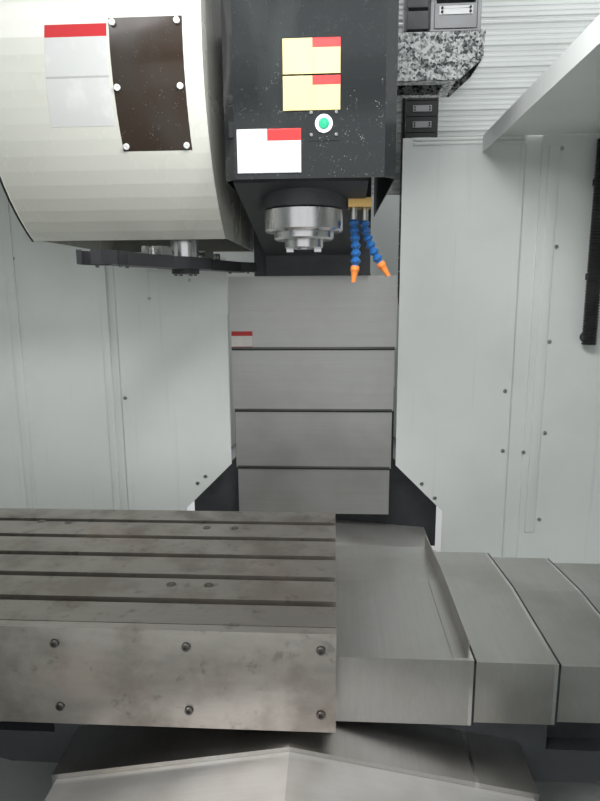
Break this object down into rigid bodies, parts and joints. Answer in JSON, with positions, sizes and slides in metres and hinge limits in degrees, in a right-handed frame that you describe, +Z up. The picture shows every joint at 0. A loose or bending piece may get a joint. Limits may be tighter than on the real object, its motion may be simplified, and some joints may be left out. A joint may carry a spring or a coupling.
{
  "type": "cnc machining center",
  "caption": "Vertical machining center with a T-slot table on cross slides, telescopic way covers, spindle head, arm tool changer and open enclosure.",
  "frame": {"origin": "on the floor, at the middle of the machine's outer box", "axes": "+X to the operator's right, +Y to the rear, +Z up"},
  "size_m": [2.44, 2.66, 2.57],
  "materials": {
    "apron_steel": "brushed, stained",
    "arm_black": "satin",
    "auger_steel": "worn",
    "black_plastic": "matte",
    "black_rubber": "matte",
    "blue_plastic": "gloss",
    "cast_black": "satin paint on cast iron",
    "clear_glass": "clear",
    "cover_steel": "brushed, oily",
    "drum_white": "gloss paint",
    "galvanized": "spangled zinc",
    "gloss_black": "high gloss",
    "green_plastic": "gloss",
    "grey_paint": "fine texture paint",
    "ground_steel": "ground",
    "lamp_glass": "frosted",
    "motor_black": "satin",
    "pot_black": "moulded",
    "red_plastic": "gloss",
    "table_iron": "ground, oil stained",
    "white_sheet": "semi-gloss powder coat",
    "zinc_steel": "zinc plated"
  },
  "bodies": {
    "frame": {"bed": "cast_black", "levelling_feet": "zinc_steel", "column": "cast_black", "guide_rails": "ground_steel", "axis_drives": "ground_steel", "chip_pan": "white_sheet", "side_walls": "white_sheet", "rear_walls": "white_sheet", "front_guard": "white_sheet", "lamps": "lamp_glass", "coolant_tank": "grey_paint", "electrical_cabinet": "white_sheet", "y_cover_ends": "cover_steel", "z_cover_4": "cover_steel", "tool_changer_box": "cast_black", "magazine_cover": "drum_white", "coolant_hose": "black_rubber"},
    "saddle": {"saddle": "cast_black", "x_guide_rails": "ground_steel", "x_axis_drive": "ground_steel", "saddle_covers": "cover_steel"},
    "table": {"table": "table_iron", "apron_plate": "apron_steel", "x_cover_1": "cover_steel"},
    "head": {"head_casting": "cast_black", "head_cover": "gloss_black", "spindle_cartridge": "ground_steel", "spindle_motor": "motor_black", "coolant_pipes": "zinc_steel", "chain_bracket": "galvanized", "cable_chain": "black_plastic", "z_cover_1": "cover_steel"},
    "spindle": {"spindle_shaft": "ground_steel"},
    "left_door": {"left_door": "white_sheet", "left_window": "clear_glass"},
    "right_door": {"right_door": "white_sheet", "right_window": "clear_glass"},
    "control_box": {"control_box": "grey_paint"},
    "x_cover_2": {"x_cover_2": "cover_steel"},
    "x_cover_3": {"x_cover_3": "cover_steel"},
    "x_cover_4": {"x_cover_4": "cover_steel"},
    "x_cover_5": {"x_cover_5": "cover_steel"},
    "x_cover_6": {"x_cover_6": "cover_steel"},
    "y_front_cover_2": {"y_front_cover_2": "cover_steel"},
    "y_front_cover_3": {"y_front_cover_3": "cover_steel"},
    "y_rear_cover_2": {"y_rear_cover_2": "cover_steel"},
    "y_rear_cover_3": {"y_rear_cover_3": "cover_steel"},
    "z_cover_2": {"z_cover_2": "cover_steel"},
    "z_cover_3": {"z_cover_3": "cover_steel"},
    "cabinet_door": {"cabinet_door": "white_sheet"},
    "chip_auger": {"chip_auger": "auger_steel"},
    "emergency_stop": {"emergency_stop": "red_plastic"},
    "override_knob": {"override_knob": "black_plastic"},
    "left_nozzle": {"left_nozzle": "blue_plastic"},
    "right_nozzle": {"right_nozzle": "blue_plastic"},
    "release_button": {"release_button": "green_plastic"},
    "arm_shaft": {"arm_shaft": "ground_steel"},
    "tool_arm": {"tool_arm": "arm_black"},
    "magazine_disc": {"magazine_disc": "pot_black"},
    "tipping_pot": {"tipping_pot": "pot_black"}
  },
  "joints": [
    {"name": "x_axis", "type": "slide", "parent": "saddle", "child": "table", "axis": [1, 0, 0], "range_m": [0, 0.85]},
    {"name": "y_axis", "type": "slide", "parent": "frame", "child": "saddle", "axis": [0, 1, 0], "range_m": [0, 0.5]},
    {"name": "z_axis", "type": "slide", "parent": "frame", "child": "head", "axis": [0, 0, -1], "range_m": [0, 0.5]},
    {"name": "x_cover_2_slide", "type": "slide", "parent": "saddle", "child": "x_cover_2", "axis": [1, 0, 0], "range_m": [0, 0.70833]},
    {"name": "x_cover_3_slide", "type": "slide", "parent": "saddle", "child": "x_cover_3", "axis": [1, 0, 0], "range_m": [0, 0.56667]},
    {"name": "x_cover_4_slide", "type": "slide", "parent": "saddle", "child": "x_cover_4", "axis": [1, 0, 0], "range_m": [0, 0.425]},
    {"name": "x_cover_5_slide", "type": "slide", "parent": "saddle", "child": "x_cover_5", "axis": [1, 0, 0], "range_m": [0, 0.28334]},
    {"name": "x_cover_6_slide", "type": "slide", "parent": "saddle", "child": "x_cover_6", "axis": [1, 0, 0], "range_m": [0, 0.14167]},
    {"name": "y_front_cover_2_slide", "type": "slide", "parent": "frame", "child": "y_front_cover_2", "axis": [0, 1, 0], "range_m": [0, 0.42]},
    {"name": "y_front_cover_3_slide", "type": "slide", "parent": "frame", "child": "y_front_cover_3", "axis": [0, 1, 0], "range_m": [0, 0.21]},
    {"name": "y_rear_cover_2_slide", "type": "slide", "parent": "frame", "child": "y_rear_cover_2", "axis": [0, 1, 0], "range_m": [0, 0.33333]},
    {"name": "y_rear_cover_3_slide", "type": "slide", "parent": "frame", "child": "y_rear_cover_3", "axis": [0, 1, 0], "range_m": [0, 0.16667]},
    {"name": "z_cover_2_slide", "type": "slide", "parent": "frame", "child": "z_cover_2", "axis": [0, 0, -1], "range_m": [0, 0.33333]},
    {"name": "z_cover_3_slide", "type": "slide", "parent": "frame", "child": "z_cover_3", "axis": [0, 0, -1], "range_m": [0, 0.16667]},
    {"name": "spindle_turn", "type": "hinge", "parent": "head", "child": "spindle", "pos_m": [0, -0.3, 1.6], "axis": [0, 0, 1], "continuous": true},
    {"name": "arm_lift", "type": "slide", "parent": "frame", "child": "arm_shaft", "axis": [0, 0, -1], "range_m": [0, 0.115]},
    {"name": "arm_swing", "type": "hinge", "parent": "arm_shaft", "child": "tool_arm", "pos_m": [-0.31, -0.18, 1.504], "axis": [0, 0, 1], "continuous": true},
    {"name": "magazine_turn", "type": "hinge", "parent": "frame", "child": "magazine_disc", "pos_m": [-0.63, -0.06, 1.932], "axis": [1, 0, 0], "continuous": true},
    {"name": "pot_tip", "type": "hinge", "parent": "magazine_disc", "child": "tipping_pot", "pos_m": [-0.62, -0.06, 1.616], "axis": [0, 1, 0], "range_deg": [0, 90]},
    {"name": "left_door_slide", "type": "slide", "parent": "frame", "child": "left_door", "axis": [1, 0, 0], "range_m": [0, 0.52]},
    {"name": "right_door_slide", "type": "slide", "parent": "frame", "child": "right_door", "axis": [-1, 0, 0], "range_m": [0, 0.52]},
    {"name": "cabinet_hinge", "type": "hinge", "parent": "frame", "child": "cabinet_door", "pos_m": [-0.45, 1.2855, 1.1], "axis": [0, 0, 1], "range_deg": [0, 110]},
    {"name": "control_box_swivel", "type": "hinge", "parent": "frame", "child": "control_box", "pos_m": [1.192, -1.226, 1.35], "axis": [0, 0, 1], "range_deg": [0, 90]},
    {"name": "emergency_stop_press", "type": "slide", "parent": "control_box", "child": "emergency_stop", "axis": [0, 1, 0], "range_m": [0, 0.006]},
    {"name": "override_turn", "type": "hinge", "parent": "control_box", "child": "override_knob", "pos_m": [1.07, -1.302, 1.14], "axis": [0, 1, 0], "range_deg": [-135, 135]},
    {"name": "release_button_press", "type": "slide", "parent": "head", "child": "release_button", "axis": [0, 1, 0], "range_m": [0, 0.004], "stiffness_N_per_m": 300},
    {"name": "left_nozzle_swivel", "type": "hinge", "parent": "head", "child": "left_nozzle", "pos_m": [0.114, -0.31, 1.59], "axis": [0, 0, 1], "range_deg": [-60, 60]},
    {"name": "right_nozzle_swivel", "type": "hinge", "parent": "head", "child": "right_nozzle", "pos_m": [0.14, -0.29, 1.59], "axis": [0, 0, 1], "range_deg": [-60, 60]},
    {"name": "auger_turn", "type": "hinge", "parent": "frame", "child": "chip_auger", "pos_m": [0, -1.045, 0.425], "axis": [1, 0, 0], "continuous": true}
  ],
  "couplings": [
    {"joint": "x_cover_2_slide", "follows": "x_axis", "ratio": 0.83333},
    {"joint": "x_cover_3_slide", "follows": "x_axis", "ratio": 0.66667},
    {"joint": "x_cover_4_slide", "follows": "x_axis", "ratio": 0.5},
    {"joint": "x_cover_5_slide", "follows": "x_axis", "ratio": 0.33333},
    {"joint": "x_cover_6_slide", "follows": "x_axis", "ratio": 0.16667},
    {"joint": "y_front_cover_2_slide", "follows": "y_axis", "ratio": 0.84},
    {"joint": "y_front_cover_3_slide", "follows": "y_axis", "ratio": 0.42},
    {"joint": "y_rear_cover_2_slide", "follows": "y_axis", "ratio": 0.66667},
    {"joint": "y_rear_cover_3_slide", "follows": "y_axis", "ratio": 0.33333},
    {"joint": "z_cover_2_slide", "follows": "z_axis", "ratio": 0.66667},
    {"joint": "z_cover_3_slide", "follows": "z_axis", "ratio": 0.33333}
  ]
}
